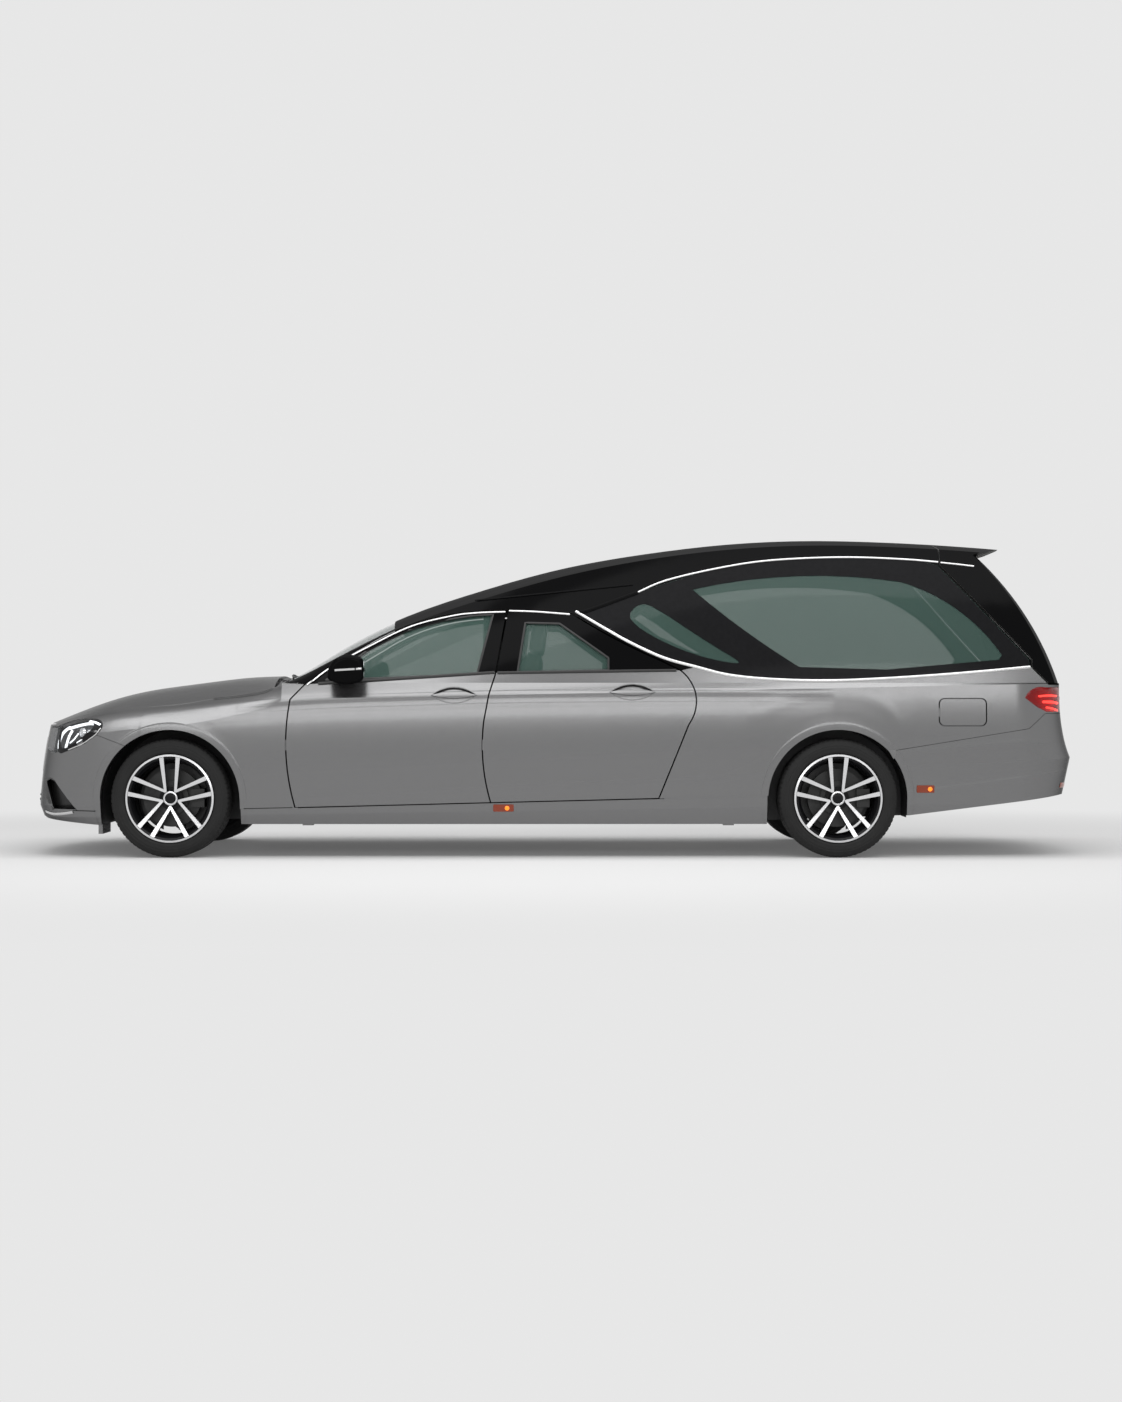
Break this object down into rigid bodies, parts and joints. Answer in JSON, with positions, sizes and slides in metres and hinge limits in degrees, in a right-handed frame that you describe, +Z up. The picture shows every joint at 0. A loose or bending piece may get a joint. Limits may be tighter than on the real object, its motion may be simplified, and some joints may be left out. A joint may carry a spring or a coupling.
{
  "type": "hearse",
  "caption": "Long saloon-based hearse with raised glazed load space, opening doors, bonnet, tailgate, fuel flap, rolling wheels and steered front wheels.",
  "frame": {"origin": "on the ground at the middle of the vehicle's box", "axes": "+X to the rear, +Y to the vehicle's right, +Z up; the car faces -X"},
  "size_m": [6.108, 2.064, 1.8492],
  "materials": {
    "body_paint": "metallic grey",
    "black_paint": "gloss",
    "tinted_glass": "tinted",
    "dark_grille": "gloss",
    "lamp_clear": "clear lens",
    "lamp_red": "red lens",
    "underbody": "matte",
    "engine_metal": "cast",
    "steel": "dull",
    "leather": "satin",
    "cabin_plastic": "matte",
    "deck": "brushed",
    "alloy": "machined and black",
    "tyre": "matte"
  },
  "bodies": {
    "body": {"floor_pan": "underbody", "front_wings": "body_paint", "quarter_panels": "body_paint", "front_bumper": "body_paint", "grille": "dark_grille", "rear_bumper": "body_paint", "roof": "black_paint", "windscreen": "tinted_glass", "side_frames": "black_paint", "side_glass": "tinted_glass", "headlamps": "lamp_clear", "tail_lamps": "lamp_red", "engine": "engine_metal", "front_seats": "leather", "dashboard": "cabin_plastic", "steering_wheel": "cabin_plastic", "load_deck": "deck", "front_subframe": "underbody", "rear_axle": "underbody", "exhaust": "steel"},
    "bonnet_body": {"bonnet": "body_paint"},
    "tailgate_body": {"tailgate": "black_paint", "tailgate_glass": "tinted_glass"},
    "fuel_flap_body": {"fuel_flap": "body_paint"},
    "front_door_left_body": {"front_door_left": "body_paint", "front_glass_left": "tinted_glass", "mirror_left": "black_paint"},
    "rear_door_left_body": {"rear_door_left": "body_paint", "rear_glass_left": "tinted_glass"},
    "knuckle_left_body": {"front_knuckle_left": "underbody"},
    "front_door_right_body": {"front_door_right": "body_paint", "front_glass_right": "tinted_glass", "mirror_right": "black_paint"},
    "rear_door_right_body": {"rear_door_right": "body_paint", "rear_glass_right": "tinted_glass"},
    "knuckle_right_body": {"front_knuckle_right": "underbody"},
    "wheel_front_left_body": {"wheel_front_left": "alloy", "tyre_front_left": "tyre"},
    "wheel_front_right_body": {"wheel_front_right": "alloy", "tyre_front_right": "tyre"},
    "wheel_rear_left_body": {"wheel_rear_left": "alloy", "tyre_rear_left": "tyre"},
    "wheel_rear_right_body": {"wheel_rear_right": "alloy", "tyre_rear_right": "tyre"}
  },
  "joints": [
    {"name": "front_door_left_hinge", "type": "hinge", "parent": "body", "child": "front_door_left_body", "pos_m": [-1.5144, -0.926, 0.64], "axis": [0, 0, -1], "range_deg": [0, 65]},
    {"name": "rear_door_left_hinge", "type": "hinge", "parent": "body", "child": "rear_door_left_body", "pos_m": [-0.3987, -0.93, 0.64], "axis": [0, 0, -1], "range_deg": [0, 65]},
    {"name": "front_door_right_hinge", "type": "hinge", "parent": "body", "child": "front_door_right_body", "pos_m": [-1.5144, 0.926, 0.64], "axis": [0, 0, 1], "range_deg": [0, 65]},
    {"name": "rear_door_right_hinge", "type": "hinge", "parent": "body", "child": "rear_door_right_body", "pos_m": [-0.3987, 0.93, 0.64], "axis": [0, 0, 1], "range_deg": [0, 65]},
    {"name": "steer_left", "type": "hinge", "parent": "body", "child": "knuckle_left_body", "pos_m": [-2.174, -0.74, 0.336], "axis": [0, 0, 1], "range_deg": [-35, 35]},
    {"name": "steer_right", "type": "hinge", "parent": "body", "child": "knuckle_right_body", "pos_m": [-2.174, 0.74, 0.336], "axis": [0, 0, 1], "range_deg": [-35, 35]},
    {"name": "wheel_front_left_spin", "type": "hinge", "parent": "knuckle_left_body", "child": "wheel_front_left_body", "pos_m": [-2.174, -0.8, 0.336], "axis": [0, 1, 0], "continuous": true},
    {"name": "wheel_front_right_spin", "type": "hinge", "parent": "knuckle_right_body", "child": "wheel_front_right_body", "pos_m": [-2.174, 0.8, 0.336], "axis": [0, 1, 0], "continuous": true},
    {"name": "wheel_rear_left_spin", "type": "hinge", "parent": "body", "child": "wheel_rear_left_body", "pos_m": [1.616, -0.8, 0.336], "axis": [0, 1, 0], "continuous": true},
    {"name": "wheel_rear_right_spin", "type": "hinge", "parent": "body", "child": "wheel_rear_right_body", "pos_m": [1.616, 0.8, 0.336], "axis": [0, 1, 0], "continuous": true},
    {"name": "bonnet_hinge", "type": "hinge", "parent": "body", "child": "bonnet_body", "pos_m": [-1.575, 0, 1], "axis": [0, 1, 0], "range_deg": [0, 50]},
    {"name": "tailgate_hinge", "type": "hinge", "parent": "body", "child": "tailgate_body", "pos_m": [2.225, 0, 1.827], "axis": [0, -1, 0], "range_deg": [0, 75]},
    {"name": "fuel_flap_hinge", "type": "hinge", "parent": "body", "child": "fuel_flap_body", "pos_m": [2.1875, -0.9125, 0.826], "axis": [0, 0, -1], "range_deg": [0, 95]}
  ],
  "couplings": [
    {"joint": "steer_right", "follows": "steer_left", "ratio": 1}
  ]
}
